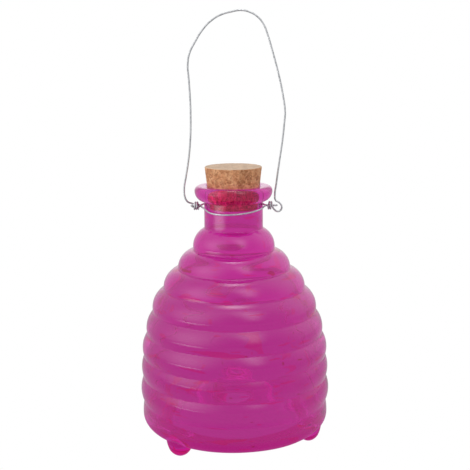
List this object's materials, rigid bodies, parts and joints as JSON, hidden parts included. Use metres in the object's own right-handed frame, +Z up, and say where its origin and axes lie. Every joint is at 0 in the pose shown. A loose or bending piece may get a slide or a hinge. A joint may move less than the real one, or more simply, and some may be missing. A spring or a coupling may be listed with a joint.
{
  "type": "wasp trap",
  "caption": "Ribbed glass beehive wasp trap with an inturned entry funnel in its base, small glass feet, a cork stopper, and a wire collar and bail to hang it by.",
  "frame": {"origin": "on the jar's axis, at the level of the feet", "axes": "+Z up along the jar's axis through the neck, X along the line of the two wire eyes that the bail swings on, -Y towards the front"},
  "size_m": [0.138, 0.138, 0.3093],
  "materials": {
    "glass": "clear magenta-pink moulded glass, fire polished, slightly wavy",
    "cork": "pressed agglomerated cork, matt, speckled",
    "wire": "galvanised steel wire, satin"
  },
  "bodies": {
    "jar": {"jar_lip": "glass", "jar_neck": "glass", "jar_shoulder": "glass", "jar_body": "glass", "jar_base": "glass", "entry_funnel": "glass", "foot_front": "glass", "foot_right": "glass", "foot_back": "glass"},
    "cork": {"cork_stopper": "cork"},
    "collar": {"neck_wire": "wire"},
    "bail": {"bail_wire": "wire"}
  },
  "joints": [
    {"name": "cork_pull", "type": "slide", "parent": "jar", "child": "cork", "axis": [0, 0, 1], "range_m": [0, 0.045]},
    {"name": "collar_turn", "type": "hinge", "parent": "jar", "child": "collar", "pos_m": [0, 0, 0.1725], "axis": [0, 0, 1], "continuous": true},
    {"name": "bail_swing", "type": "hinge", "parent": "collar", "child": "bail", "pos_m": [0, 0, 0.1725], "axis": [1, 0, 0], "range_deg": [-135, 135]}
  ]
}
